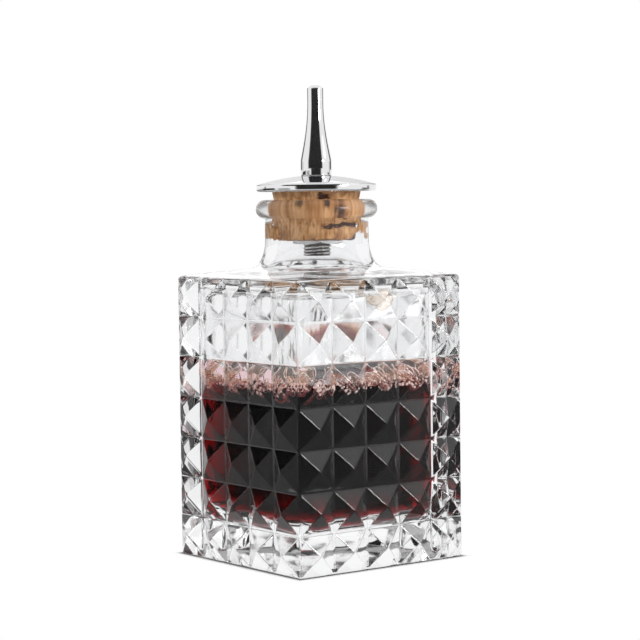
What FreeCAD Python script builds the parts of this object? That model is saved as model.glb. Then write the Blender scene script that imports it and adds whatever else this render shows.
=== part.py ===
import FreeCAD, Part
import math
import os

# A square bitters bottle of pressed glass with diamond-point sides, closed by a cork that carries
# a metal dasher top. Millimetres, +Z up, origin at the centre of the base on the resting plane.

# Glass body: a grid of diamond points on each of the four sides
body_side = 55.0
body_height = 77.0
cell_columns = 5
cell_rows = 7
cell_width = body_side / cell_columns
cell_height = body_height / cell_rows
diamond_rise = 2.1
side_count = 4

# Glass base: a shallow dished push-up inside the resting ring
push_up_radius = 20.0
push_up_depth = 1.2

# Glass shoulder, neck and lip
shoulder_rise = 2.2
shoulder_radius = 18.0
neck_radius = 14.2
neck_flare_height = 7.3
neck_height = 6.1
lip_height = 5.1
lip_bulge = 2.4
lip_rim_round = 0.9
flare_foot_share = 0.55
flare_neck_share = 0.45

# Glass cavity: a rounded square well below a tapered cork seat
cavity_side = 47.5
cavity_corner = 8.0
cavity_floor_round = 7.5
cavity_roof_round = 2.5
base_thickness = 12.0
roof_thickness = 3.0
mouth_radius = 11.7
throat_radius = 10.7
throat_drop = 11.7
throat_flare_radius = 18.0
throat_neck_share = 0.3
throat_foot_share = 0.5

# Liquid
liquid_depth = 36.5
liquid_clearance = 0.05

# Cork
cork_length = 13.3
cork_proud = 2.1
cork_swell = 0.45
cork_edge = 0.6
cork_clearance = 0.06
recess_clearance = 0.6

# Dasher top: disc, spout and threaded tube
disc_radius = 16.4
disc_rim_height = 2.0
disc_rim_round = 0.7
dome_rise = 2.3
dome_mid_share = 0.62
spout_base_radius = 4.22
spout_straight = 3.9
spout_flare = 16.0
spout_length = 24.7
spout_tip_radius = 2.21
spout_tip_round = 1.2
spout_low_handle_share = 0.08
spout_high_handle_share = 0.5
spout_bore_radius = 1.5
orifice_radius = 1.0
orifice_length = 4.0
spigot_length = 5.0
tube_radius = 3.95
tube_bore_radius = 2.65
tube_below_cork = 4.6
tube_in_disc = 3.2
thread_clearance = 0.05

# Clamping nut and washer under the cork
nut_across_flats = 13.0
nut_thickness = 4.0
nut_showing = 1.0
nut_chamfer = 0.5
nut_sides = 6
washer_radius = 7.5
washer_thickness = 1.0
washer_bore_radius = 4.2

# One overrun for every cut that has to break through a face
overrun = 2.0

# Heights that several pieces share
shoulder_top = body_height + shoulder_rise
neck_top = shoulder_top + neck_flare_height + neck_height
lip_top = neck_top + lip_height
cavity_top = body_height - roof_thickness
cavity_height = cavity_top - base_thickness
throat_level = lip_top - throat_drop
cork_top = lip_top + cork_proud
cork_bottom = cork_top - cork_length
disc_rim_top = cork_top + disc_rim_height
spout_seat = disc_rim_top + dome_rise
spout_top = spout_seat + spout_length
tube_bottom = cork_bottom - tube_below_cork
tube_top = cork_top + tube_in_disc
nut_bottom = cork_bottom - nut_showing
nut_top = nut_bottom + nut_thickness
washer_top = nut_top + washer_thickness

origin = FreeCAD.Vector(0, 0, 0)
up = FreeCAD.Vector(0, 0, 1)


def at(radius, height):
    """Point of a turned profile, in the XZ plane."""
    return FreeCAD.Vector(radius, 0, height)


def line(start, end):
    return Part.LineSegment(start, end).toShape()


def arc(start, middle, end):
    return Part.Arc(start, middle, end).toShape()


def bezier(points):
    curve = Part.BezierCurve()
    curve.setPoles(points)
    return curve.toShape()


def turned(edges):
    """Solid of revolution about the bottle's axis from the edges of a closed profile."""
    face = Part.Face(Part.Wire(edges))
    return Part.makeSolid(face.revolve(origin, up, 360))


def turned_outline(points):
    """Solid of revolution from a closed outline of straight lines."""
    return turned([line(a, b) for a, b in zip(points, points[1:] + points[:1])])


def cylinder(radius, bottom, top):
    return Part.makeCylinder(radius, top - bottom, FreeCAD.Vector(0, 0, bottom))


def square_wire(side, height):
    half = side / 2
    corners = [(-half, -half), (half, -half), (half, half), (-half, half)]
    points = [FreeCAD.Vector(x, y, height) for x, y in corners]
    return Part.makePolygon(points + points[:1])


def quartered_circle(radius, height):
    """Circle in four arcs whose ends lie on the diagonals, to match a square's corners."""
    edges = []
    for quarter in range(side_count):
        first = math.radians(90 * quarter - 135)
        angles = [first, first + math.pi / 4, first + math.pi / 2]
        points = [FreeCAD.Vector(radius * math.cos(a), radius * math.sin(a), height) for a in angles]
        edges.append(arc(*points))
    return Part.Wire(edges)


def triangle(a, b, c):
    return Part.Face(Part.makePolygon([a, b, c, a]))


def diamond_side():
    """Faces of the front side: one low pyramid on each cell of the grid."""
    half = body_side / 2
    faces = []
    for column in range(cell_columns):
        for row in range(cell_rows):
            left = column * cell_width - half
            low = row * cell_height
            ring = [
                FreeCAD.Vector(left, -half, low),
                FreeCAD.Vector(left + cell_width, -half, low),
                FreeCAD.Vector(left + cell_width, -half, low + cell_height),
                FreeCAD.Vector(left, -half, low + cell_height),
            ]
            apex = FreeCAD.Vector(left + cell_width / 2, -half - diamond_rise, low + cell_height / 2)
            faces += [triangle(a, b, apex) for a, b in zip(ring, ring[1:] + ring[:1])]
    return faces


def grid_edge_cap(height):
    """Square face that closes the diamond sides, with a vertex at each column of the grid."""
    half = body_side / 2
    points = []
    for side in range(side_count):
        turn = FreeCAD.Rotation(up, 90 * side)
        for column in range(cell_columns):
            corner = FreeCAD.Vector(column * cell_width - half, -half, height)
            points.append(turn.multVec(corner))
    return Part.Face(Part.makePolygon(points + points[:1]))


def diamond_block():
    """Solid square block whose four sides carry the diamond points."""
    front = diamond_side()
    faces = [grid_edge_cap(0), grid_edge_cap(body_height)]
    for side in range(side_count):
        faces += [face.rotated(origin, up, 90 * side) for face in front]
    return Part.Solid(Part.Shell(faces))


def neck_outside():
    """Turned neck: flare out of the shoulder, straight neck and half-round lip bead."""
    flare_top = shoulder_top + neck_flare_height
    flare = bezier([
        at(shoulder_radius, shoulder_top),
        at(shoulder_radius - (shoulder_radius - neck_radius) * flare_foot_share, shoulder_top),
        at(neck_radius, flare_top - neck_flare_height * flare_neck_share),
        at(neck_radius, flare_top),
    ])
    bead = arc(
        at(neck_radius, neck_top),
        at(neck_radius + lip_bulge, neck_top + lip_height / 2),
        at(neck_radius, lip_top),
    )
    return turned([
        line(at(0, body_height), at(shoulder_radius, body_height)),
        line(at(shoulder_radius, body_height), at(shoulder_radius, shoulder_top)),
        flare,
        line(at(neck_radius, flare_top), at(neck_radius, neck_top)),
        bead,
        line(at(neck_radius, lip_top), at(0, lip_top)),
        line(at(0, lip_top), at(0, body_height)),
    ])


def shoulder():
    """Low roof from the square top of the body to the round foot of the neck."""
    sections = [square_wire(body_side, body_height), quartered_circle(shoulder_radius, shoulder_top)]
    return Part.makeLoft(sections, True, True)


def well(clearance):
    """Rounded square well of the cavity, drawn in on every side by a clearance."""
    side = cavity_side - 2 * clearance
    floor = base_thickness + clearance
    height = cavity_height - 2 * clearance
    block = Part.makeBox(side, side, height, FreeCAD.Vector(-side / 2, -side / 2, floor))
    upright = [e for e in block.Edges if abs(e.Vertexes[0].Z - e.Vertexes[1].Z) > height / 2]
    block = block.makeFillet(cavity_corner - clearance, upright)
    low = [e for e in block.Edges if e.BoundBox.ZMax < floor + height / 4]
    block = block.makeFillet(cavity_floor_round - clearance, low)
    high = [e for e in block.Edges if e.BoundBox.ZMin > floor + height - height / 100]
    return block.makeFillet(cavity_roof_round - clearance, high)


def neck_bore():
    """Tapered cork seat that opens into the roof of the well, with a rounded mouth."""
    flare = bezier([
        at(throat_radius, throat_level),
        at(throat_radius, throat_level - (throat_level - cavity_top) * throat_neck_share),
        at(throat_radius + (throat_flare_radius - throat_radius) * (1 - throat_foot_share), cavity_top),
        at(throat_flare_radius, cavity_top),
    ])
    below = cavity_top - cavity_roof_round / 2
    taper = (mouth_radius - throat_radius) / throat_drop
    rim_start = lip_top - lip_rim_round
    rim_radius = mouth_radius - taper * lip_rim_round
    rim_bend = lip_rim_round * (1 - math.sqrt(0.5))
    mouth = arc(
        at(rim_radius, rim_start),
        at(rim_radius + rim_bend, lip_top - rim_bend),
        at(rim_radius + lip_rim_round, lip_top),
    )
    top = lip_top + overrun
    return turned([
        line(at(0, below), at(throat_flare_radius, below)),
        line(at(throat_flare_radius, below), at(throat_flare_radius, cavity_top)),
        flare,
        line(at(throat_radius, throat_level), at(rim_radius, rim_start)),
        mouth,
        line(at(rim_radius + lip_rim_round, lip_top), at(rim_radius + lip_rim_round, top)),
        line(at(rim_radius + lip_rim_round, top), at(0, top)),
        line(at(0, top), at(0, below)),
    ])


def push_up():
    """Dished recess in the underside of the base."""
    return turned([
        line(at(0, -overrun), at(push_up_radius, -overrun)),
        line(at(push_up_radius, -overrun), at(push_up_radius, 0)),
        bezier([at(push_up_radius, 0), at(push_up_radius / 2, push_up_depth), at(0, push_up_depth)]),
        line(at(0, push_up_depth), at(0, -overrun)),
    ])


def glass_bottle():
    outside = diamond_block().fuse([shoulder(), neck_outside()])
    hollow = well(0).fuse(neck_bore())
    return outside.cut([hollow, push_up()])


def bitters():
    """Liquid that fills the bottom of the well to its level."""
    level = base_thickness + liquid_depth
    corner = FreeCAD.Vector(-body_side / 2, -body_side / 2, level)
    above = Part.makeBox(body_side, body_side, body_height, corner)
    return well(liquid_clearance).cut(above)


def cork():
    """Tapered cork that follows its seat in the neck and swells where it stands out of the mouth."""
    taper = (mouth_radius - throat_radius) / throat_drop
    mouth = mouth_radius - cork_clearance
    foot = mouth - taper * (lip_top - cork_bottom)
    body = turned_outline([
        at(0, cork_bottom),
        at(foot - cork_edge, cork_bottom),
        at(foot + taper * cork_edge, cork_bottom + cork_edge),
        at(mouth - taper * lip_rim_round, lip_top - lip_rim_round),
        at(mouth, lip_top),
        at(mouth + cork_swell, cork_top),
        at(0, cork_top),
    ])
    recess = cylinder(washer_radius + recess_clearance, cork_bottom - overrun, washer_top)
    bore = cylinder(tube_radius + thread_clearance, cork_bottom - overrun, cork_top + overrun)
    return body.cut([recess, bore])


def cap_disc():
    """Flange with a flat underside, rounded rim and low dome with a flat seat for the spout."""
    hole = tube_radius + thread_clearance
    dome = arc(
        at(disc_radius, disc_rim_top),
        at((disc_radius + spout_base_radius) / 2, disc_rim_top + dome_rise * dome_mid_share),
        at(spout_base_radius, spout_seat),
    )
    rim_bend = disc_rim_round * (1 - math.sqrt(0.5))
    rim = arc(
        at(disc_radius - disc_rim_round, cork_top),
        at(disc_radius - rim_bend, cork_top + rim_bend),
        at(disc_radius, cork_top + disc_rim_round),
    )
    body = turned([
        line(at(0, cork_top), at(disc_radius - disc_rim_round, cork_top)),
        rim,
        line(at(disc_radius, cork_top + disc_rim_round), at(disc_radius, disc_rim_top)),
        dome,
        line(at(spout_base_radius, spout_seat), at(0, spout_seat)),
        line(at(0, spout_seat), at(0, cork_top)),
    ])
    spigot_hole = cylinder(tube_bore_radius, cork_top, spout_seat + overrun)
    return body.cut([cylinder(hole, cork_top - overrun, tube_top), spigot_hole])


def spout():
    """Nozzle with a straight foot, a long concave taper and a rounded tip, on a spigot in the tube."""
    flare_start = spout_seat + spout_straight
    flare_end = flare_start + spout_flare
    spigot_radius = tube_bore_radius - thread_clearance
    spigot_bottom = spout_seat - spigot_length
    tip_bend = spout_tip_round * (1 - math.sqrt(0.5))
    tip = arc(
        at(spout_tip_radius, spout_top - spout_tip_round),
        at(spout_tip_radius - tip_bend, spout_top - tip_bend),
        at(spout_tip_radius - spout_tip_round, spout_top),
    )
    flare = bezier([
        at(spout_base_radius, flare_start),
        at(spout_base_radius, flare_start + spout_flare * spout_low_handle_share),
        at(spout_tip_radius, flare_end - spout_flare * spout_high_handle_share),
        at(spout_tip_radius, flare_end),
    ])
    body = turned([
        line(at(0, spigot_bottom), at(spigot_radius, spigot_bottom)),
        line(at(spigot_radius, spigot_bottom), at(spigot_radius, spout_seat)),
        line(at(spigot_radius, spout_seat), at(spout_base_radius, spout_seat)),
        line(at(spout_base_radius, spout_seat), at(spout_base_radius, flare_start)),
        flare,
        line(at(spout_tip_radius, flare_end), at(spout_tip_radius, spout_top - spout_tip_round)),
        tip,
        line(at(spout_tip_radius - spout_tip_round, spout_top), at(0, spout_top)),
        line(at(0, spout_top), at(0, spigot_bottom)),
    ])
    bore = cylinder(spout_bore_radius, spigot_bottom - overrun, spout_top - orifice_length)
    orifice = cylinder(orifice_radius, spigot_bottom - overrun, spout_top + overrun)
    return body.cut([bore, orifice])


def threaded_tube():
    outside = cylinder(tube_radius, tube_bottom, tube_top)
    return outside.cut(cylinder(tube_bore_radius, tube_bottom - overrun, tube_top + overrun))


def washer():
    ring = cylinder(washer_radius, nut_top, washer_top)
    return ring.cut(cylinder(washer_bore_radius, nut_top - overrun, washer_top + overrun))


def hex_nut():
    """Hexagon with both ends turned to a chamfer."""
    corner = nut_across_flats / 2 / math.cos(math.pi / nut_sides)
    turns = [2 * math.pi * side / nut_sides for side in range(nut_sides)]
    points = [FreeCAD.Vector(corner * math.cos(a), corner * math.sin(a), nut_bottom) for a in turns]
    hexagon = Part.Face(Part.makePolygon(points + points[:1])).extrude(up * nut_thickness)
    shallow = corner - nut_chamfer
    turned_blank = turned_outline([
        at(0, nut_bottom),
        at(shallow, nut_bottom),
        at(corner, nut_bottom + nut_chamfer),
        at(corner, nut_top - nut_chamfer),
        at(shallow, nut_top),
        at(0, nut_top),
    ])
    hole = cylinder(tube_radius + thread_clearance, nut_bottom - overrun, nut_top + overrun)
    return hexagon.common(turned_blank).cut(hole)


sub_parts = [glass_bottle, bitters, cork, cap_disc, spout, threaded_tube, washer, hex_nut]

os.makedirs("parts", exist_ok=True)
for make in sub_parts:
    shape = make()
    if not shape.isValid() or len(shape.Solids) != 1:
        raise ValueError(f"{make.__name__}: expected one valid solid, got {len(shape.Solids)}")
    shape.Solids[0].exportStep(os.path.join("parts", make.__name__ + ".step"))
    box = shape.BoundBox
    span = f"z {box.ZMin:.2f} to {box.ZMax:.2f}"
    print(f"{make.__name__}: {shape.Volume:.0f} mm3, {span}, faces {len(shape.Faces)}")
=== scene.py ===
import math
import random

import bmesh
import bpy
from mathutils import Matrix, Vector, noise


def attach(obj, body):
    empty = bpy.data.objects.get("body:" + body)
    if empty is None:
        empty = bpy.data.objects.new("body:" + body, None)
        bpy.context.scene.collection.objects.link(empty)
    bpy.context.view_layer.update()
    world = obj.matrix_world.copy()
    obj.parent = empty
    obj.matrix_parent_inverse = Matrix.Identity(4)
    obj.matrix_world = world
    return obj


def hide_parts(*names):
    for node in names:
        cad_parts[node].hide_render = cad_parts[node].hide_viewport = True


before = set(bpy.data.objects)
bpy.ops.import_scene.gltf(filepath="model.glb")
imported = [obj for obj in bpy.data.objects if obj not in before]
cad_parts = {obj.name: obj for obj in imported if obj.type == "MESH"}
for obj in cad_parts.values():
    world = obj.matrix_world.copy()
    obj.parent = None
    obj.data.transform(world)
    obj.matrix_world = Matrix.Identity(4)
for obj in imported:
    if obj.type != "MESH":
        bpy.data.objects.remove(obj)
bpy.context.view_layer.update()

MM = 0.001

# Glass body, in millimetres, as in the part
CELL = 11.0
COLUMNS = 5
ROWS = 7
DIAMOND_RISE = 2.1
BODY_SIDE = CELL * COLUMNS
BODY_HEIGHT = CELL * ROWS
SHOULDER_RISE = 2.2
SHOULDER_RADIUS = 18.0
NECK_RADIUS = 14.2
NECK_FLARE_HEIGHT = 7.3
NECK_HEIGHT = 6.1
LIP_HEIGHT = 5.1
LIP_BULGE = 2.4
LIP_RIM_ROUND = 0.9
PUSH_UP_RADIUS = 20.0
PUSH_UP_DEPTH = 1.2
CAVITY_SIDE = 47.5
CAVITY_CORNER = 8.0
CAVITY_FLOOR_ROUND = 7.5
CAVITY_ROOF_ROUND = 2.5
BASE_THICKNESS = 12.0
ROOF_THICKNESS = 3.0
MOUTH_RADIUS = 11.7
THROAT_RADIUS = 10.7
THROAT_DROP = 11.7
THROAT_FLARE_RADIUS = 18.0
THROAT_NECK_SHARE = 0.3
THROAT_FOOT_SHARE = 0.5
FLARE_FOOT_SHARE = 0.55
FLARE_NECK_SHARE = 0.45
LIQUID_DEPTH = 36.5

# Stopper, in millimetres, as in the part
CORK_LENGTH = 13.3
CORK_PROUD = 2.1
CORK_SWELL = 0.45
DISC_RADIUS = 16.4
DISC_RIM_HEIGHT = 2.0
DISC_RIM_ROUND = 0.7
DOME_RISE = 2.3
DOME_MID_SHARE = 0.62
SPOUT_BASE_RADIUS = 4.22
SPOUT_STRAIGHT = 3.9
SPOUT_FLARE = 16.0
SPOUT_LENGTH = 24.7
SPOUT_TIP_RADIUS = 2.21
SPOUT_TIP_ROUND = 1.2
SPOUT_LOW_HANDLE_SHARE = 0.08
SPOUT_HIGH_HANDLE_SHARE = 0.5
SPOUT_BORE_RADIUS = 1.5
ORIFICE_RADIUS = 1.0
ORIFICE_LENGTH = 4.0
SPIGOT_LENGTH = 5.0
TUBE_RADIUS = 3.95
TUBE_BORE_RADIUS = 2.65
TUBE_BELOW_CORK = 4.6
TUBE_IN_DISC = 3.2
THREAD_CLEARANCE = 0.05
THREAD_PITCH = 1.0
THREAD_DEPTH = 0.5
NUT_ACROSS_FLATS = 13.0
NUT_THICKNESS = 4.0
NUT_SHOWING = 1.0
NUT_CHAMFER = 0.5
WASHER_RADIUS = 7.5
WASHER_THICKNESS = 1.0
WASHER_BORE_RADIUS = 4.2
RECESS_CLEARANCE = 0.6

SHOULDER_TOP = BODY_HEIGHT + SHOULDER_RISE
NECK_TOP = SHOULDER_TOP + NECK_FLARE_HEIGHT + NECK_HEIGHT
LIP_TOP = NECK_TOP + LIP_HEIGHT
CAVITY_TOP = BODY_HEIGHT - ROOF_THICKNESS
THROAT_LEVEL = LIP_TOP - THROAT_DROP
LIQUID_LEVEL = BASE_THICKNESS + LIQUID_DEPTH
BORE_TAPER = (MOUTH_RADIUS - THROAT_RADIUS) / THROAT_DROP
CORK_TOP = LIP_TOP + CORK_PROUD
CORK_BOTTOM = CORK_TOP - CORK_LENGTH
DISC_RIM_TOP = CORK_TOP + DISC_RIM_HEIGHT
SPOUT_SEAT = DISC_RIM_TOP + DOME_RISE
SPOUT_TOP = SPOUT_SEAT + SPOUT_LENGTH
TUBE_BOTTOM = CORK_BOTTOM - TUBE_BELOW_CORK
TUBE_TOP = CORK_TOP + TUBE_IN_DISC
NUT_BOTTOM = CORK_BOTTOM - NUT_SHOWING
NUT_TOP = NUT_BOTTOM + NUT_THICKNESS
WASHER_TOP = NUT_TOP + WASHER_THICKNESS

# Small roundings and edges of the metal pieces, in millimetres, and the degrees that the disc's edge turns
DISC_EDGE_ROUND = 0.25
DISC_EDGE_TURN = 78
DOME_START_RISE = 0.05
SPOUT_FOOT_ROUND = 0.3
ORIFICE_EDGE = 0.05
WASHER_EDGE = 0.15

# Thread's flank per pitch, and its flat foot; how fast the painted shade in its grooves deepens with the
# depth, and where it starts
TOOTH_SLOPE = 2.4
TOOTH_FOOT = 0.1
GROOVE_SHADE_SLOPE = 1.6
GROOVE_SHADE_START = 0.4

# Rounding of the moulded edges of the glass and least rounding of the well's corners, in millimetres
WELL_LEAST_CORNER = 0.3
RIDGE_ROUND = 0.28
VALLEY_ROUND = 0.45
CORNER_ROUND = 0.45
RIM_ROUND = 0.8

# Refractive indices
GLASS_INDEX = 1.52
LIQUID_INDEX = 1.36
FROTH_INDEX = 1.34

# Liquid at the wall, in millimetres: its clearance, how high it climbs and how far from the wall that starts,
# and the film that it leaves above, with the share by which its height varies and its waves per millimetre
LIQUID_CLEARANCE = 0.05
LIQUID_CLIMB = 1.2
CLIMB_REACH = 4.0
FILM_HEIGHT = 3.6
FILM_THICKNESS = 0.2
FILM_UNEVENNESS = 0.5
FILM_WAVES = 0.25

# Froth along the walls: beads and hollow bubbles, with their least radius and its range in millimetres, how
# closely they press to the wall, the share of clear beads, and the radius from which all beads are clear
FROTH_SEED = 7
FROTH_BEADS = 800
BEAD_RADIUS = 0.2
BEAD_RANGE = 0.5
FROTH_BUBBLES = 130
BUBBLE_RADIUS = 0.7
BUBBLE_RANGE = 1.5
FROTH_PRESS = 0.92
FROTH_CLEAR_SHARE = 0.18
FROTH_MILKY_RADIUS = 0.5

# Heaps of beads, in millimetres: their height, waves per millimetre and place in the noise; the range of a
# bead's height in its heap, and of a bubble's over the level, as shares of the heap and of the radius
HEAP_HEIGHT = 1.2
HEAP_WAVES = 0.16
HEAP_PLACE = Vector((3.1, 0, 0))
BEAD_LIFT = (-0.6, 1.2)
BUBBLE_LIFT = (0.2, 1.4)

# Radius of the hollow as a share of the bubble's or the drop's
BUBBLE_HOLLOW = 0.92
FRONT_HOLLOW = 0.94
DROP_HOLLOW = 0.93

# Large bubbles near the front corner: degrees round from it, radius and height over the level, in millimetres
FRONT_BUBBLES = [
    (-8, 3.0, 0.6), (11, 2.4, 0.2), (-75, 1.9, 0.6), (-50, 1.8, 0.6), (5, 0.9, -0.8), (-2, 0.8, -1.0),
]

# Drops that cling to the front wall below the roof: place along the wall, height and radius, in millimetres
WALL_DROPS = [
    (-6.5, 72.9, 0.7), (-5.0, 72.6, 0.8), (-3.4, 72.3, 0.8),
    (-1.6, 72.0, 0.9), (0.6, 71.5, 1.1), (3.6, 71.3, 2.0),
]

# Cork in the glass, in millimetres: its press into the glass, its gap under the disc, how far it stands off
# where it is loose, its grain and the rounding of its foot
CORK_PRESS = 0.03
CORK_SEAT_GAP = 0.02
CORK_LOOSE = 0.08
CORK_GRAIN = 0.03
CORK_FOOT_ROUND = 0.35

# Noise of the cork: waves per millimetre of its loose places, across and along, and the noise from which it
# is loose; waves per millimetre of its grain; the foot's mean rise in millimetres; layers of (height, waves)
# that make the foot and the borders of the pits ragged
LOOSE_ACROSS = 1.5
LOOSE_ALONG = 0.45
LOOSE_FROM = 0.6
GRAIN_WAVES = 3.1
FOOT_RISE = 0.25
FOOT_LAYERS = [(0.9, 7), (0.7, 19)]
PIT_LAYERS = [(0.45, 0.9), (0.35, 2.3)]

# Degrees round from the camera within which the lip touches the cork, and within which its pits are pressed
# nearly flat; the share of their depth left there, the depth in millimetres at which pits are fully dark,
# where their border ends and how wide that is, as shares of their size, the number of pits on the far side,
# and the strength of the painted shade above the lip, where the disc shades the cork
CORK_PRESSED_SIDE = 70
PIT_FILL_SIDE = 58
PIT_FILL_DEPTH = 0.02
PIT_DARK_DEPTH = 0.45
PIT_END = 1.15
PIT_BORDER = 0.35
PIT_SEED = 11
FAR_PITS = 34
CORK_TOP_SHADE = 0.37

# Camera of the photograph, fitted to the grid of diamonds: degrees, millimetres and pixels
CAMERA_AZIMUTH = -37.15
CAMERA_DISTANCE = 575.1
CAMERA_HEIGHT = 97.55
CAMERA_PITCH = 3.27
CAMERA_ROLL = -0.7
FOCAL_PIXELS = 2102.6
AXIS_PIXEL = 317.9
FRAME_PIXELS = 640
SENSOR = 36.0

# Floor, in millimetres: its radius, the painted contact shadow, a dark line round the base, and where the
# floor has faded out; the tones of both, and the share of the floor that is hidden from rays that come
# through the glass
FLOOR_RADIUS = 400.0
CONTACT_SHADOW_START = BODY_SIDE / 2 + 0.3
CONTACT_SHADOW_END = BODY_SIDE / 2 + 1.5
FLOOR_END = BODY_SIDE / 2 + 2.8
CONTACT_SHADOW_TONE = 0.18
FLOOR_TONE = 0.97
FLOOR_HIDDEN = 0.75

# Card over the floor, in millimetres
FLOOR_CARD_NEAR = 45.0
FLOOR_CARD_FAR = 260.0
FLOOR_CARD_HEIGHT = 0.4

# Distance of the cards from the axis, in millimetres: round the scene, round the body and round the stopper
FAR_REACH = 900.0
BODY_REACH = 150
TOP_REACH = 45
DOME_REACH = 50

# Material slots of the glass: where the liquid wets it, the ground underside, the dry inside and the lip
WETTED = 1
GROUND = 2
INSIDE = 3
LIP = 4

# Segments of the meshes
PER_CELL = 6
AROUND = PER_CELL * COLUMNS * 4
SHOULDER_STEPS = 6
FLARE_STEPS = 14
LIP_STEPS = 24
RIM_STEPS = 8
BORE_STEPS = 5
CEILING_STEPS = 2
ROOF_STEPS = 8
WALL_STEPS = 6
WELL_STEPS = 10
WELL_FLOOR_STEPS = 6
UNDERSIDE_STEPS = 3
PUSH_UP_STEPS = 9
CLIMB_STEPS = 12
DOME_STEPS = 16
SPOUT_STEPS = 24
CHAMFER_STEPS = 5
CORK_AROUND = 2 * AROUND
CORK_ROWS = 56
TUBE_AROUND = 72
THREAD_STEPS = 10
NUT_AROUND = 96
FLOOR_AROUND = 64
FLOOR_RINGS = 5
FLOOR_CARD_RINGS = 8
CARD_STEPS = 24

# Most times that a ray of light may be bent or thrown back
BOUNCES = 48

# Degrees between two faces from which their edge is sharp
CREASE = 50
TURNED_CREASE = 30
NUT_CREASE = 12


# Number helpers

def clamp(value):
    return min(1.0, max(0.0, value))


def degrees_apart(first, second):
    """Degrees from the second direction to the first, between -180 and 180."""
    return (first - second + 180) % 360 - 180


def ragged(place, layers, start=0.0):
    """Layers of noise on top of a start, each with its height and its waves."""
    return sum((height * noise.noise(place * waves) for height, waves in layers), start)


# Mesh helpers

def circle(radius, height, count=AROUND, start=-135):
    """Ring of points from a start in degrees, as a rule on the front-left diagonal."""
    turns = [2 * math.pi * i / count + math.radians(start) for i in range(count)]
    return [Vector((radius * math.cos(t), radius * math.sin(t), height)) for t in turns]


def square(half, height):
    """Ring on a square, evenly spaced along its sides, starting at the front-left corner."""
    ring = []
    per_side = AROUND // 4
    for side in range(4):
        turn = Matrix.Rotation(math.radians(90 * side), 3, "Z")
        for i in range(per_side):
            ring.append(turn @ Vector((-half + 2 * half * i / per_side, -half, height)))
    return ring


def rounded_square(half, corner, height):
    """Ring on a square with round corners, at even angles."""
    ring = []
    for i in range(AROUND):
        turn = 2 * math.pi * i / AROUND - math.radians(135)
        off = (turn + math.radians(45)) % math.radians(90) - math.radians(45)
        across, along = math.cos(off), abs(math.sin(off))
        radius = half / across
        if radius * along > half - corner:
            reach = half - corner
            middle = (across + along) * reach
            radius = middle + math.sqrt(max(0.0, middle ** 2 - 2 * reach ** 2 + corner ** 2))
        ring.append(Vector((radius * math.cos(turn), radius * math.sin(turn), height)))
    return ring


def between(first, last, steps):
    """Rings in even steps from one ring to another."""
    return [[p.lerp(q, i / steps) for p, q in zip(first, last)] for i in range(steps + 1)]


def bezier(points, steps):
    """Points along a cubic curve, first one left out."""
    p0, p1, p2, p3 = [Vector(p) for p in points]
    made = []
    for i in range(1, steps + 1):
        t = i / steps
        made.append((1 - t) ** 3 * p0 + 3 * (1 - t) ** 2 * t * p1 + 3 * (1 - t) * t ** 2 * p2 + t ** 3 * p3)
    return made


class Patchwork:
    """Faces collected from patches and welded into one closed mesh."""

    def __init__(self):
        self.points = []
        self.faces = []
        self.slots = []

    def face(self, points, slot=0):
        start = len(self.points)
        self.points += points
        self.faces.append(list(range(start, start + len(points))))
        self.slots.append(slot)

    def loft(self, rings, slot=0):
        for low, high in zip(rings, rings[1:]):
            count = len(low)
            for i in range(count):
                j = (i + 1) % count
                self.face([low[i], low[j], high[j], high[i]], slot)

    def cap(self, ring, middle, slot=0):
        count = len(ring)
        for i in range(count):
            self.face([ring[i], ring[(i + 1) % count], middle], slot)

    def mesh(self, name, crease=None):
        """Welded mesh, smooth except on edges where it turns by crease or more degrees."""
        built = bmesh.new()
        corners = [built.verts.new(p * MM) for p in self.points]
        for face, slot in zip(self.faces, self.slots):
            built.faces.new([corners[i] for i in face]).material_index = slot
        bmesh.ops.remove_doubles(built, verts=built.verts, dist=1e-6)
        bmesh.ops.recalc_face_normals(built, faces=built.faces)
        for face in built.faces:
            face.smooth = True
        mesh = bpy.data.meshes.new(name)
        built.to_mesh(mesh)
        built.free()
        if crease:
            mesh.set_sharp_from_angle(angle=math.radians(crease))
        return mesh


def add_object(name, data):
    made = bpy.data.objects.new(name, data)
    bpy.context.scene.collection.objects.link(made)
    return made


def add_piece(name, mesh, material, body, node=None):
    """Piece with one material or a tuple of them, carried by a body and standing for a node of the frame."""
    piece = add_object(name, mesh)
    for used in material if isinstance(material, tuple) else (material,):
        mesh.materials.append(used)
    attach(piece, body)
    if node:
        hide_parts(node)
    return piece


def bake_modifiers(piece):
    """Puts the result of the piece's modifiers into its mesh."""
    graph = bpy.context.evaluated_depsgraph_get()
    done = bpy.data.meshes.new_from_object(piece.evaluated_get(graph))
    piece.modifiers.clear()
    old = piece.data
    piece.data = done
    bpy.data.meshes.remove(old)


# Material helpers

def set_inputs(tree, node, inputs):
    """Gives the inputs of a node their values, or links them to the outputs of other nodes."""
    for name, value in inputs.items():
        if isinstance(value, bpy.types.NodeSocket):
            tree.links.new(value, node.inputs[name])
        else:
            node.inputs[name].default_value = value


def new_material(name, inputs):
    """Material with values on its shader's inputs; returned with its node tree and its shader."""
    material = bpy.data.materials.new(name)
    material.use_nodes = True
    shader = material.node_tree.nodes["Principled BSDF"]
    set_inputs(material.node_tree, shader, inputs)
    return material, material.node_tree, shader


def add_node(tree, kind, inputs=None, **settings):
    """New shader node with settings and inputs of its own."""
    node = tree.nodes.new("ShaderNode" + kind)
    for name, value in settings.items():
        setattr(node, name, value)
    set_inputs(tree, node, inputs or {})
    return node


def mesh_value(tree, name):
    """Value that the mesh holds under a name."""
    return add_node(tree, "Attribute", attribute_name=name).outputs["Fac"]


def object_noise(tree, scale, detail=2.0, squeeze=None):
    """Noise that sticks to the object, with its axes scaled by squeeze."""
    place = add_node(tree, "TexCoord").outputs["Object"]
    if squeeze:
        place = add_node(tree, "Mapping", {"Vector": place, "Scale": squeeze}).outputs["Vector"]
    return add_node(tree, "TexNoise", {"Vector": place, "Scale": scale, "Detail": detail}).outputs["Fac"]


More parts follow.
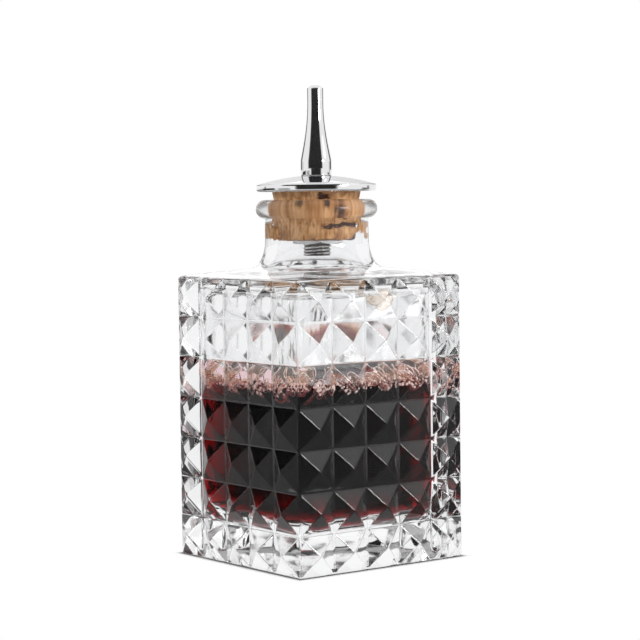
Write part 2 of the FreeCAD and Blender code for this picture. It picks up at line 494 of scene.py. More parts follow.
def colour_ramp(tree, value, low, dark, high, pale):
    """Colour that goes from dark to pale as a value goes from low to high."""
    ramp = add_node(tree, "ValToRGB", {"Fac": value})
    first, last = ramp.color_ramp.elements
    first.position, first.color = low, (*dark, 1)
    last.position, last.color = high, (*pale, 1)
    return ramp.outputs["Color"]


def larger(tree, first, second):
    return add_node(tree, "Math", {0: first, 1: second}, operation="MAXIMUM").outputs[0]


def mix_colours(tree, share, first, second, **settings):
    mix = add_node(tree, "Mix", {"Factor": share, "A": first, "B": second}, data_type="RGBA", **settings)
    return mix.outputs["Result"]


def mix_surfaces(tree, share, first, second):
    return add_node(tree, "MixShader", {"Fac": share, 1: first, 2: second}).outputs["Shader"]


def clear_surface(tree):
    return add_node(tree, "BsdfTransparent").outputs["BSDF"]


def show(tree, output, use="Surface"):
    tree.links.new(output, tree.nodes["Material Output"].inputs[use])


def soak_up(tree, colour, density):
    """Takes colour out of the light by the depth that it crosses."""
    absorb = add_node(tree, "VolumeAbsorption", {"Color": (*colour, 1), "Density": density})
    show(tree, absorb.outputs["Volume"], "Volume")


def let_light_through(tree, surface, also=None):
    """Lets shadow rays pass, to light floor and cork through the glass, and all rays where also is 1."""
    passing = add_node(tree, "LightPath").outputs["Is Shadow Ray"]
    if also:
        passing = larger(tree, passing, also)
    show(tree, mix_surfaces(tree, passing, surface, clear_surface(tree)))


# Materials

def glass_material(name, index, roughness=0.0):
    """Clear glass with a faint ripple, tinted a little grey as painted shade for a surround dimmer than
    white.
    """
    # Its grey tint is painted shade, for a surround that is dimmer than pure white
    material, tree, shader = new_material(name, {
        "Base Color": (0.93, 0.935, 0.94, 1), "Transmission Weight": 1.0,
        "IOR": index, "Roughness": roughness,
    })
    ripple = object_noise(tree, scale=160.0, detail=1.0)
    bump = add_node(tree, "Bump", {"Height": ripple, "Strength": 0.06, "Distance": 0.002})
    set_inputs(tree, shader, {"Normal": bump.outputs["Normal"]})
    let_light_through(tree, shader.outputs["BSDF"])
    return material


def liquid_material():
    """Dark red liquid that soaks up light by depth; where it wets the wall, the glass does the bending."""
    material, tree, shader = new_material("bitters_liquid", {
        "Base Color": (1, 1, 1, 1), "Transmission Weight": 1.0, "IOR": LIQUID_INDEX, "Roughness": 0.0,
    })
    soak_up(tree, (0.868, 0.455, 0.500), 1150.0)
    let_light_through(tree, shader.outputs["BSDF"], mesh_value(tree, "wall"))
    return material


def froth_material(name, clearness, dark, pale, soak=0.0, rim_highlight=None):
    """Thinned liquid between two tones; soak is how strongly depth tints it, and the rim colour is that of a
    painted highlight along its edge.
    """
    material, tree, shader = new_material(name, {
        "Transmission Weight": clearness, "IOR": FROTH_INDEX, "Roughness": 0.0,
    })
    clouds = object_noise(tree, scale=500.0)
    set_inputs(tree, shader, {"Base Color": colour_ramp(tree, clouds, 0.35, dark, 0.65, pale)})
    if soak:
        soak_up(tree, (0.88, 0.50, 0.05), soak)
    surface = shader.outputs["BSDF"]
    # Painted highlight: a pale band where the surface turns away from the view
    if rim_highlight:
        view = add_node(tree, "LayerWeight", {"Blend": 0.5}).outputs["Facing"]
        band = add_node(tree, "MapRange", {"Value": view, "From Min": 0.53, "From Max": 0.72})
        painted_highlight = add_node(tree, "BsdfDiffuse", {"Color": (*rim_highlight, 1)})
        surface = mix_surfaces(tree, band.outputs["Result"], surface, painted_highlight.outputs["BSDF"])
    let_light_through(tree, surface)
    return material


def cork_material():
    """Tan cork with fine upright streaks, darker clouds, dark pits and painted shade above the lip, both of
    which its mesh marks.
    """
    material, tree, shader = new_material("natural_cork", {"Roughness": 0.8})
    streaks = object_noise(tree, scale=1400.0, detail=4.0, squeeze=(1.0, 1.0, 0.25))
    tones = colour_ramp(tree, streaks, 0.34, (0.59, 0.258, 0.088), 0.60, (0.95, 0.575, 0.288))
    clouds = object_noise(tree, scale=260.0, detail=5.0)
    warmth = colour_ramp(tree, clouds, 0.35, (0.58, 0.47, 0.36), 0.62, (1.0, 1.0, 1.0))
    tint = mix_colours(tree, 1.0, tones, warmth, blend_type="MULTIPLY")
    # The mark darkens the cork in its pits, and with painted shade above the lip
    pitted_and_painted_shade = mix_colours(tree, mesh_value(tree, "pit_and_painted_shade"), tint, (0.075, 0.033, 0.026, 1))
    set_inputs(tree, shader, {"Base Color": pitted_and_painted_shade})
    return material


def metal_material(name, colour, roughness, groove_shaded=False):
    """Metal with faint smears; where its mesh marks it, painted shade darkens the grooves of a thread."""
    material, tree, shader = new_material(name, {"Metallic": 1.0, "Base Color": (*colour, 1)})
    # Painted shade: the metal darkens where the mesh marks the depth of a groove
    if groove_shaded:
        darkened = mix_colours(tree, mesh_value(tree, "groove_shade"), (*colour, 1), (0.05, 0.045, 0.04, 1))
        set_inputs(tree, shader, {"Base Color": darkened})
    smears = object_noise(tree, scale=300.0, detail=3.0)
    span = add_node(tree, "MapRange", {
        "Value": smears, "To Min": roughness * 0.6, "To Max": roughness * 1.4,
    })
    set_inputs(tree, shader, {"Roughness": span.outputs["Result"]})
    return material


# Glass bottle

def diamond_faces(work):
    """Low pyramids on the four sides; the first and last row meet the finer rings of top and bottom."""
    half = BODY_SIDE / 2
    for side in range(4):
        turn = Matrix.Rotation(math.radians(90 * side), 3, "Z")
        for column in range(COLUMNS):
            for row in range(ROWS):
                left = column * CELL - half
                low = row * CELL
                corners = [(left, low), (left + CELL, low), (left + CELL, low + CELL), (left, low + CELL)]
                apex = turn @ Vector((left + CELL / 2, -half - DIAMOND_RISE, low + CELL / 2))
                for k in range(4):
                    a, b = corners[k], corners[(k + 1) % 4]
                    fine = (k == 0 and row == 0) or (k == 2 and row == ROWS - 1)
                    steps = PER_CELL if fine else 1
                    edge = []
                    for i in range(steps + 1):
                        share = i / steps
                        x = a[0] + (b[0] - a[0]) * share
                        z = a[1] + (b[1] - a[1]) * share
                        edge.append(turn @ Vector((x, -half, z)))
                    work.face(edge + [apex])


def neck_profile():
    """Radius and height from the foot of the neck over the lip down to the roof of the cavity.

    Returns the points and the numbers of the first and the last one on the lip.
    """
    flare_top = SHOULDER_TOP + NECK_FLARE_HEIGHT
    reach = SHOULDER_RADIUS - NECK_RADIUS
    points = [Vector((SHOULDER_RADIUS, SHOULDER_TOP))]
    points += bezier([
        (SHOULDER_RADIUS, SHOULDER_TOP),
        (SHOULDER_RADIUS - reach * FLARE_FOOT_SHARE, SHOULDER_TOP),
        (NECK_RADIUS, flare_top - NECK_FLARE_HEIGHT * FLARE_NECK_SHARE),
        (NECK_RADIUS, flare_top),
    ], FLARE_STEPS)
    points.append(Vector((NECK_RADIUS, (flare_top + NECK_TOP) / 2)))
    lip_start = len(points)
    for i in range(LIP_STEPS + 1):
        turn = math.radians(-90 + 180 * i / LIP_STEPS)
        rise = NECK_TOP + LIP_HEIGHT / 2 * (1 + math.sin(turn))
        points.append(Vector((NECK_RADIUS + LIP_BULGE * math.cos(turn), rise)))
    lip_end = len(points)
    rim_radius = MOUTH_RADIUS - BORE_TAPER * LIP_RIM_ROUND
    for i in range(RIM_STEPS + 1):
        turn = math.radians(90 * i / RIM_STEPS)
        points.append(Vector((
            rim_radius + LIP_RIM_ROUND * (1 - math.sin(turn)),
            LIP_TOP - LIP_RIM_ROUND * (1 - math.cos(turn)),
        )))
    for i in range(1, BORE_STEPS + 1):
        points.append(Vector((rim_radius, LIP_TOP - LIP_RIM_ROUND)).lerp(
            Vector((THROAT_RADIUS, THROAT_LEVEL)), i / BORE_STEPS))
    out = THROAT_FLARE_RADIUS - THROAT_RADIUS
    points += bezier([
        (THROAT_RADIUS, THROAT_LEVEL),
        (THROAT_RADIUS, THROAT_LEVEL - (THROAT_LEVEL - CAVITY_TOP) * THROAT_NECK_SHARE),
        (THROAT_RADIUS + out * (1 - THROAT_FOOT_SHARE), CAVITY_TOP),
        (THROAT_FLARE_RADIUS, CAVITY_TOP),
    ], FLARE_STEPS)
    return points, lip_start, lip_end


def film_edge(ring, lift):
    """The ring raised to the uneven upper edge of the film, or to a share of that height."""
    raised = []
    for point in ring:
        wave = noise.noise(Vector((point.x, point.y, 0)) * FILM_WAVES)
        rise = FILM_HEIGHT * (1 + FILM_UNEVENNESS * wave)
        raised.append(Vector((point.x, point.y, LIQUID_LEVEL + LIQUID_CLIMB + rise * lift)))
    return raised


def well_rings(clearance=0.0):
    """Rings of the cavity from its roof to its floor, and the number of the one on the edge of the film."""
    rings = []
    half = CAVITY_SIDE / 2 - clearance
    corner = CAVITY_CORNER - clearance
    roof = CAVITY_TOP - clearance
    floor = BASE_THICKNESS + clearance
    high = CAVITY_ROOF_ROUND - clearance
    low = CAVITY_FLOOR_ROUND - clearance
    for i in range(ROOF_STEPS + 1):
        turn = math.radians(90 * i / ROOF_STEPS)
        inset = high * (1 - math.sin(turn))
        rings.append(rounded_square(half - inset, corner - inset, roof - high * (1 - math.cos(turn))))
    film_line = len(rings)
    level = LIQUID_LEVEL + LIQUID_CLIMB
    wall = rounded_square(half, corner, level)
    rings.append(film_edge(wall, 1.0))
    for i in range(WALL_STEPS):
        rings.append(rounded_square(half, corner, level + (floor + low - level) * i / WALL_STEPS))
    for i in range(WELL_STEPS + 1):
        turn = math.radians(90 * i / WELL_STEPS)
        inset = low * (1 - math.cos(turn))
        height = floor + low * (1 - math.sin(turn))
        rings.append(rounded_square(half - inset, max(corner - inset, WELL_LEAST_CORNER), height))
    return rings, film_line


def glass_mesh():
    work = Patchwork()
    diamond_faces(work)
    half = BODY_SIDE / 2
    foot = circle(SHOULDER_RADIUS, SHOULDER_TOP)
    edge = square(half, BODY_HEIGHT)
    work.loft(between(edge, foot, SHOULDER_STEPS))
    profile, lip_start, lip_end = neck_profile()
    neck = [circle(p.x, p.y) for p in profile]
    work.loft(neck[:lip_start + 1])
    work.loft(neck[lip_start:lip_end + 1], LIP)
    work.loft(neck[lip_end:])
    throat = circle(THROAT_FLARE_RADIUS, CAVITY_TOP)
    well, film_line = well_rings()
    work.loft(between(throat, well[0], CEILING_STEPS), INSIDE)
    work.loft(well[:film_line + 1], INSIDE)
    work.loft(well[film_line:], WETTED)
    floor_middle = Vector((0, 0, BASE_THICKNESS))
    floor = between(well[-1], [floor_middle] * AROUND, WELL_FLOOR_STEPS)[:-1]
    work.loft(floor, WETTED)
    work.cap(floor[-1], floor_middle, WETTED)
    work.loft(between(square(half, 0), circle(PUSH_UP_RADIUS, 0), UNDERSIDE_STEPS), GROUND)
    dish = []
    for i in range(PUSH_UP_STEPS):
        radius = PUSH_UP_RADIUS * (1 - i / PUSH_UP_STEPS)
        dish.append(circle(radius, PUSH_UP_DEPTH * (1 - (radius / PUSH_UP_RADIUS) ** 2)))
    work.loft(dish, GROUND)
    work.cap(dish[-1], Vector((0, 0, PUSH_UP_DEPTH)), GROUND)
    return work.mesh("glass_bottle")


def weigh_edges(mesh):
    """Bevel weights: how much each moulded edge is rounded."""
    half = BODY_SIDE / 2 * MM
    small = 1e-5
    top = BODY_HEIGHT * MM
    weights = mesh.attributes.new("bevel_weight_edge", "FLOAT", "EDGE")
    shown = mesh.vertices
    for edge in mesh.edges:
        a, b = [shown[i].co for i in edge.vertices]
        greater = [max(abs(p.x), abs(p.y)) for p in (a, b)]
        lesser = [min(abs(p.x), abs(p.y)) for p in (a, b)]
        if min(greater) < half - small or max(a.z, b.z) > top + small:
            continue
        if max(greater) >= half + small:
            amount = RIDGE_ROUND
        elif all(abs(p - half) < small for p in lesser):
            amount = CORNER_ROUND
        elif a.z > top - small and b.z > top - small:
            amount = RIM_ROUND
        elif a.z < small and b.z < small:
            amount = CORNER_ROUND
        else:
            amount = VALLEY_ROUND
        weights.data[edge.index].value = amount / RIM_ROUND


def build_glass(material):
    mesh = glass_mesh()
    weigh_edges(mesh)
    piece = add_piece("bottle_glass", mesh, material, "bottle", "glass_bottle")
    bevel = piece.modifiers.new("rounding", "BEVEL")
    bevel.limit_method = "WEIGHT"
    bevel.width = RIM_ROUND * MM
    bevel.offset_type = "OFFSET"
    bevel.segments = 2
    bevel.harden_normals = True
    bevel.use_clamp_overlap = False
    bake_modifiers(piece)


# Liquid

def build_liquid(material):
    """Fill of the cavity up to its level, with the climb at the walls and the film above it."""
    work = Patchwork()
    well, film_line = well_rings(LIQUID_CLEARANCE)
    half = CAVITY_SIDE / 2 - LIQUID_CLEARANCE
    corner = CAVITY_CORNER - LIQUID_CLEARANCE
    surface = []
    for i in range(CLIMB_STEPS):
        share = i / CLIMB_STEPS
        inset = CLIMB_REACH * (1 - share)
        rise = LIQUID_CLIMB * share ** 3
        surface.append(rounded_square(half - inset, corner - inset / 2, LIQUID_LEVEL + rise))
    skin = rounded_square(half - FILM_THICKNESS, corner - FILM_THICKNESS, LIQUID_LEVEL + LIQUID_CLIMB)
    surface += [skin, film_edge(skin, 0.5), film_edge(skin, 0.85), well[film_line]]
    work.cap(surface[0], Vector((0, 0, LIQUID_LEVEL)))
    work.loft(surface)
    work.loft(well[film_line:], WETTED)
    work.cap(well[-1], Vector((0, 0, well[-1][0].z)), WETTED)
    mesh = work.mesh("bitters_fill", CREASE)
    wall = mesh.attributes.new("wall", "FLOAT", "FACE")
    for face in mesh.polygons:
        wall.data[face.index].value = 1.0 if face.material_index == WETTED else 0.0
        face.material_index = 0
    add_piece("bitters_fill", mesh, material, "bottle", "bitters")


def unit_ball():
    """Corners and faces of a ball of radius 1."""
    built = bmesh.new()
    bmesh.ops.create_icosphere(built, subdivisions=2, radius=1.0)
    built.verts.index_update()
    corners = [vertex.co.copy() for vertex in built.verts]
    faces = [[vertex.index for vertex in face.verts] for face in built.faces]
    built.free()
    return corners, faces


def build_froth(material):
    """Beads and bubbles of thinned liquid in a line along the walls, at the level, and drops above it."""
    dice = random.Random(FROTH_SEED)
    ring = rounded_square(CAVITY_SIDE / 2 - LIQUID_CLEARANCE, CAVITY_CORNER, LIQUID_LEVEL)
    corners, sides = unit_ball()
    points, faces, slots = [], [], []

    def ball(place, radius, slot=0, inside_out=False):
        start = len(points)
        points.extend((place + corner * radius) * MM for corner in corners)
        for side in sides:
            faces.append([start + i for i in (side[::-1] if inside_out else side)])
            slots.append(slot)

    def bubble(place, radius, hollow):
        ball(place, radius, 1)
        ball(place, radius * hollow, 1, inside_out=True)

    def spot(radius, turn):
        """Place at the level for a ball that touches the wall; turn is in rounds from the front corner."""
        step = turn % 1.0 * AROUND
        low = int(step)
        place = ring[low].lerp(ring[(low + 1) % AROUND], step - low)
        inward = Vector((-place.x, -place.y, 0))
        for axis in (0, 1):
            if abs(place[axis]) < CAVITY_SIDE / 2 - CAVITY_CORNER:
                inward[axis] = 0.0
        return place + inward.normalized() * radius * FROTH_PRESS

    for _ in range(FROTH_BEADS):
        radius = BEAD_RADIUS + BEAD_RANGE * dice.random() ** 2
        place = spot(radius, dice.random())
        heap = HEAP_HEIGHT + HEAP_HEIGHT * noise.noise(place * HEAP_WAVES + HEAP_PLACE)
        place.z += max(0.0, heap) * dice.uniform(*BEAD_LIFT)
        clear = dice.random() < FROTH_CLEAR_SHARE or radius > FROTH_MILKY_RADIUS
        ball(place, radius, 1 if clear else 0)
    for _ in range(FROTH_BUBBLES):
        radius = BUBBLE_RADIUS + BUBBLE_RANGE * dice.random() ** 2
        place = spot(radius, dice.random())
        place.z += radius * dice.uniform(*BUBBLE_LIFT)
        bubble(place, radius, BUBBLE_HOLLOW)
    for turn, radius, lift in FRONT_BUBBLES:
        bubble(spot(radius, turn / 360) + Vector((0, 0, lift)), radius, FRONT_HOLLOW)
    for along, height, radius in WALL_DROPS:
        bubble(Vector((along, radius * FROTH_PRESS - CAVITY_SIDE / 2, height)), radius, DROP_HOLLOW)
    mesh = bpy.data.meshes.new("froth")
    mesh.from_pydata(points, [], faces)
    mesh.polygons.foreach_set("material_index", slots)
    mesh.shade_smooth()
    add_piece("froth", mesh, material, "bottle")


# Stopper

def turned_mesh(name, profile):
    """Ring-shaped mesh turned from a closed profile of (radius, height) points."""
    work = Patchwork()
    rings = [circle(r, z) for r, z in profile]
    work.loft(rings + rings[:1])
    return work.mesh(name, TURNED_CREASE)


def quarter(middle, radius, first, last, steps=6):
    """Points on an arc of a profile, angles in degrees from the radial direction."""
    turns = [math.radians(first + (last - first) * i / steps) for i in range(steps + 1)]
    return [(middle[0] + radius * math.cos(t), middle[1] + radius * math.sin(t)) for t in turns]


def cork_radius(height):
    """Radius of the cork without its pits: tapered in the neck and swollen above the lip."""
    if height < LIP_TOP:
        return MOUTH_RADIUS - BORE_TAPER * (LIP_TOP - height) + CORK_PRESS
    return MOUTH_RADIUS + CORK_PRESS + CORK_SWELL * (height - LIP_TOP) / CORK_PROUD


def cork_pits():
    """Pits and chips of the cork as (azimuth, height, half width, half height, depth).

    Azimuths are in degrees and the rest in millimetres. The first ones are those that the
    photograph shows, and the others are spread over the rest of the cork.
    """
    shown = [
        (8, 98.5, 1.5, 0.8, 0.9),
        (-20, 95.9, 1.6, 0.5, 0.5),
        (13, 95.9, 0.7, 0.6, 0.6),
        (30, 95.0, 1.5, 0.45, 0.5),
        (38, 93.9, 0.6, 1.0, 0.5),
        (14, 90.4, 1.5, 0.6, 0.8),
        (26, 90.9, 2.0, 0.7, 0.9),
        (40, 91.4, 2.2, 0.8, 1.0),
        (52, 91.2, 1.6, 0.9, 1.0),
        (66, 86.9, 2.6, 1.6, 1.4),
    ]
    pits = [(CAMERA_AZIMUTH + pit_and_painted_shade[0], *pit_and_painted_shade[1:]) for pit_and_painted_shade in shown]
    dice = random.Random(PIT_SEED)
    for _ in range(FAR_PITS):
        azimuth = CAMERA_AZIMUTH + dice.uniform(95, 265)
        height = dice.uniform(CORK_BOTTOM, CORK_TOP)
        half_width = dice.uniform(0.5, 2.2)
        half_height = dice.uniform(0.4, 1.2)
        depth = dice.uniform(0.3, 0.9)
        pits.append((azimuth, height, half_width, half_height, depth))
    return pits


def pit_depth(pits, azimuth, height, place):
    """Depth of the pits at a place on the cork, with ragged borders."""
    deepest = 0.0
    end = PIT_END + ragged(place, PIT_LAYERS)
    for middle, level, half_width, half_height, depth in pits:
        across = math.radians(degrees_apart(azimuth, middle)) * MOUTH_RADIUS
        away = math.hypot(across / half_width, (height - level) / half_height)
        share = clamp((end - away) / PIT_BORDER)
        deepest = max(deepest, depth * share * share * (3 - 2 * share))
    return deepest


def cork_foot(side):
    """Height of the cork's ragged lower edge on a side of it."""
    return CORK_BOTTOM + max(0.0, ragged(side, FOOT_LAYERS, FOOT_RISE))


def build_cork(material):
    """Tapered cork with pits, a ragged foot, the bore for the tube and the recess for washer and nut."""
    pits = cork_pits()
    work = Patchwork()
    top = CORK_TOP - CORK_SEAT_GAP
    rings, depths = [], {}
    for row in range(CORK_ROWS + 1):
        ring = []
        for i in range(CORK_AROUND):
            azimuth = 360 * i / CORK_AROUND
            turn = math.radians(azimuth - 90)
            side = Vector((math.cos(turn), math.sin(turn), 0))
            low = cork_foot(side)
            height = low + (top - low) * row / CORK_ROWS
            place = side * MOUTH_RADIUS + Vector((0, 0, height))
            deep = pit_depth(pits, azimuth, height, place)
            away = abs(degrees_apart(azimuth, CAMERA_AZIMUTH))
            stretched = Vector((place.x * LOOSE_ACROSS, place.y * LOOSE_ACROSS, place.z * LOOSE_ALONG))
            off_lip = height > NECK_TOP and away > CORK_PRESSED_SIDE
            loose = CORK_LOOSE if noise.noise(stretched) > LOOSE_FROM or off_lip else 0.0
            grain = CORK_GRAIN * max(0.0, noise.noise(place * GRAIN_WAVES))
            filled = height < LIP_TOP and away < PIT_FILL_SIDE
            radius = cork_radius(height) - (PIT_FILL_DEPTH * deep if filled else deep) - loose - grain
            if row == 0:
                radius -= CORK_FOOT_ROUND
            point = side * radius + Vector((0, 0, height))
            depths[tuple(round(c, 4) for c in point)] = deep
            ring.append(point)
        rings.append(ring)
    bore = TUBE_RADIUS + THREAD_CLEARANCE
    recess = WASHER_RADIUS + RECESS_CLEARANCE
    for radius, height in ((bore, top), (bore, WASHER_TOP), (recess, WASHER_TOP), (recess, CORK_BOTTOM)):
        rings.append(circle(radius, height, CORK_AROUND, -90))
    work.loft(rings + rings[:1])
    mesh = work.mesh("cork", CREASE)
    pit_and_painted_shade = mesh.attributes.new("pit_and_painted_shade", "FLOAT", "POINT")
    for vertex in mesh.vertices:
        deep = depths.get(tuple(round(c / MM, 4) for c in vertex.co), 0.0)
        # Painted shade darkens the cork above the lip, where the disc shades it; the same mark holds how dark
        # the pits are
        above = (vertex.co.z / MM - LIP_TOP) / CORK_PROUD
        shaded = CORK_TOP_SHADE * clamp(2 * above)
        pit_and_painted_shade.data[vertex.index].value = max(shaded, clamp(deep / PIT_DARK_DEPTH))
    add_piece("cork_body", mesh, material, "cork_stopper", "cork")


def build_disc(material):
    """Flange with a rounded rim and a shallow dome."""
    hole = TUBE_RADIUS + THREAD_CLEARANCE
    edge = DISC_EDGE_ROUND
    outer, inner = DISC_RADIUS, SPOUT_BASE_RADIUS
    low = Vector((outer - edge, DISC_RIM_TOP + DOME_START_RISE))
    middle = Vector(((outer + inner) / 2, DISC_RIM_TOP + DOME_RISE * DOME_MID_SHARE))
    high = Vector((inner, SPOUT_SEAT))
    bend = 2 * middle - (low + high) / 2
    dome = []
    for i in range(1, DOME_STEPS + 1):
        share = i / DOME_STEPS
        point = low.lerp(bend, share).lerp(bend.lerp(high, share), share)
        dome.append((point.x, point.y))
    profile = [(hole, CORK_TOP)]
    profile += quarter((outer - DISC_RIM_ROUND, CORK_TOP + DISC_RIM_ROUND), DISC_RIM_ROUND, -90, 0)
    profile += quarter((outer - edge, DISC_RIM_TOP - edge), edge, 0, DISC_EDGE_TURN, steps=4)
    profile += dome
    profile += [(TUBE_BORE_RADIUS, SPOUT_SEAT), (TUBE_BORE_RADIUS, TUBE_TOP), (hole, TUBE_TOP)]
    mesh = turned_mesh("disc", profile)
    add_piece("disc", mesh, material, "dasher_top", "cap_disc")


def build_spout(material):
    """Slender nozzle with a spigot in the tube and an orifice at its tip."""
    start = SPOUT_SEAT + SPOUT_STRAIGHT
    end = start + SPOUT_FLARE
    spigot = TUBE_BORE_RADIUS - THREAD_CLEARANCE
    foot = SPOUT_FOOT_ROUND
    profile = [(spigot, SPOUT_SEAT - SPIGOT_LENGTH), (spigot, SPOUT_SEAT)]
    profile += quarter((SPOUT_BASE_RADIUS - foot, SPOUT_SEAT + foot), foot, -90, 0, steps=5)
    profile.append((SPOUT_BASE_RADIUS, start))
    profile += [(p.x, p.y) for p in bezier([
        (SPOUT_BASE_RADIUS, start),
        (SPOUT_BASE_RADIUS, start + SPOUT_FLARE * SPOUT_LOW_HANDLE_SHARE),
        (SPOUT_TIP_RADIUS, end - SPOUT_FLARE * SPOUT_HIGH_HANDLE_SHARE),
        (SPOUT_TIP_RADIUS, end),
    ], SPOUT_STEPS)]
    round_middle = (SPOUT_TIP_RADIUS - SPOUT_TIP_ROUND, SPOUT_TOP - SPOUT_TIP_ROUND)
    profile += quarter(round_middle, SPOUT_TIP_ROUND, 0, 90, steps=8)
    throat = SPOUT_TOP - ORIFICE_LENGTH
    profile += [(ORIFICE_RADIUS, SPOUT_TOP - ORIFICE_EDGE), (ORIFICE_RADIUS, throat)]
    profile += [(SPOUT_BORE_RADIUS, throat), (SPOUT_BORE_RADIUS, SPOUT_SEAT - SPIGOT_LENGTH)]
    mesh = turned_mesh("nozzle", profile)
    add_piece("nozzle", mesh, material, "dasher_top", "spout")


def build_tube(material):
    """Tube with a running thread, with painted shade in its grooves."""
    work = Patchwork()
    rings = []
    count = int((TUBE_TOP - TUBE_BOTTOM) / THREAD_PITCH * THREAD_STEPS)
    for row in range(count + 1):
        height = TUBE_BOTTOM + (TUBE_TOP - TUBE_BOTTOM) * row / count
        ring = []
        for i in range(TUBE_AROUND):
            turn = 2 * math.pi * i / TUBE_AROUND
            phase = (height / THREAD_PITCH - i / TUBE_AROUND) % 1.0
            tooth = clamp(TOOTH_SLOPE * abs(phase - 0.5) - TOOTH_FOOT)
            ends = min(height - TUBE_BOTTOM, TUBE_TOP - height)
            radius = min(TUBE_RADIUS - THREAD_DEPTH * (1 - tooth), TUBE_RADIUS - THREAD_DEPTH + ends)
            ring.append(Vector((radius * math.cos(turn), radius * math.sin(turn), height)))
        rings.append(ring)
    rings += [circle(TUBE_BORE_RADIUS, height, TUBE_AROUND, 0) for height in (TUBE_TOP, TUBE_BOTTOM)]
    work.loft(rings + rings[:1])
    mesh = work.mesh("tube", CREASE)
    # Painted shade in the grooves, darker the deeper a point lies in the thread
    groove_shade = mesh.attributes.new("groove_shade", "FLOAT", "POINT")
    for vertex in mesh.vertices:
        deep = (TUBE_RADIUS - vertex.co.xy.length / MM) / THREAD_DEPTH
        groove_shade.data[vertex.index].value = clamp(GROOVE_SHADE_SLOPE * deep - GROOVE_SHADE_START)
    add_piece("tube", mesh, material, "dasher_top", "threaded_tube")


def build_nut(material):
    """Hexagon nut whose ends are turned to a chamfer."""
    corner = NUT_ACROSS_FLATS / 2 / math.cos(math.pi / 6)
    hole = TUBE_RADIUS + THREAD_CLEARANCE

    def ring(height, turned_radius):
        points = []
        for i in range(NUT_AROUND):
            turn = 2 * math.pi * i / NUT_AROUND
            off = turn % math.radians(60) - math.radians(30)
            flat = NUT_ACROSS_FLATS / 2 / math.cos(off)
            radius = min(flat, turned_radius)
            points.append(Vector((radius * math.cos(turn), radius * math.sin(turn), height)))
        return points

    work = Patchwork()
    levels = []
    shallow = corner - NUT_CHAMFER * 2
    for i in range(CHAMFER_STEPS + 1):
        share = i / CHAMFER_STEPS
        levels.append((NUT_BOTTOM + NUT_CHAMFER * share, shallow + (corner - shallow) * share))
    levels += [(NUT_TOP + NUT_BOTTOM - height, radius) for height, radius in reversed(levels)]
    rings = [ring(height, radius) for height, radius in levels]
    rings += [ring(NUT_TOP, hole), ring(NUT_BOTTOM, hole)]
    work.loft(rings + rings[:1])
    mesh = work.mesh("nut", NUT_CREASE)
    add_piece("nut", mesh, material, "clamp_nut", "hex_nut")


def build_washer(material):
    """Flat washer with rounded edges."""
    edge = WASHER_EDGE
    profile = [(WASHER_BORE_RADIUS, NUT_TOP + edge), (WASHER_BORE_RADIUS + edge, NUT_TOP)]
    profile += quarter((WASHER_RADIUS - edge, NUT_TOP + edge), edge, -90, 0, steps=3)
    profile += quarter((WASHER_RADIUS - edge, WASHER_TOP - edge), edge, 0, 90, steps=3)
    profile += [(WASHER_BORE_RADIUS + edge, WASHER_TOP), (WASHER_BORE_RADIUS, WASHER_TOP - edge)]
    mesh = turned_mesh("ring", profile)
    add_piece("ring", mesh, material, "clamp_washer", "washer")


# Stage

def build_world():
    world = bpy.data.worlds.new("studio")
    bpy.context.scene.world = world
    world.use_nodes = True
    background = world.node_tree.nodes["Background"]
    set_inputs(world.node_tree, background, {"Color": (1, 1, 1, 1), "Strength": 1.0})


def build_lamp(name, azimuth, elevation, reach, size, power, rays=()):
    """Soft lamp aimed at the foot of the bottle; rays names the kinds of ray that meet it.

    Azimuth (from the camera) and elevation are in degrees, the reach and the size in metres.
    """
    data = bpy.data.lights.new(name, "AREA")
    data.shape = "ELLIPSE"
    data.size, data.size_y = size
    data.energy = power
    lamp = add_object(name, data)
    turn, rise = math.radians(CAMERA_AZIMUTH + azimuth), math.radians(elevation)
    away = Vector((math.sin(turn) * math.cos(rise), -math.cos(turn) * math.cos(rise), math.sin(rise)))
    lamp.matrix_world = Matrix.Translation(away * reach) @ away.to_track_quat("Z", "Y").to_matrix().to_4x4()
    lamp.visible_camera = False
    lamp.visible_glossy = "glossy" in rays
    lamp.visible_transmission = "transmission" in rays


def build_camera():
    data = bpy.data.cameras.new("photo_camera")
    data.sensor_width = SENSOR
    data.lens = FOCAL_PIXELS / FRAME_PIXELS * SENSOR
    data.clip_start = 0.01
    camera = add_object("photo_camera", data)
    turn = math.radians(CAMERA_AZIMUTH)
    back = Vector((math.sin(turn), -math.cos(turn), 0))
    aim = math.atan((FRAME_PIXELS / 2 - AXIS_PIXEL) / FOCAL_PIXELS)
    stand = Matrix.Rotation(turn - aim, 4, "Z") @ Matrix.Rotation(math.radians(90), 4, "X")
    pitch = Matrix.Rotation(math.radians(-CAMERA_PITCH), 4, "X")
    roll = Matrix.Rotation(math.radians(CAMERA_ROLL), 4, "Z")
    place = Matrix.Translation((back * CAMERA_DISTANCE + Vector((0, 0, CAMERA_HEIGHT))) * MM)
    camera.matrix_world = place @ stand @ (pitch @ roll)
    bpy.context.scene.camera = camera


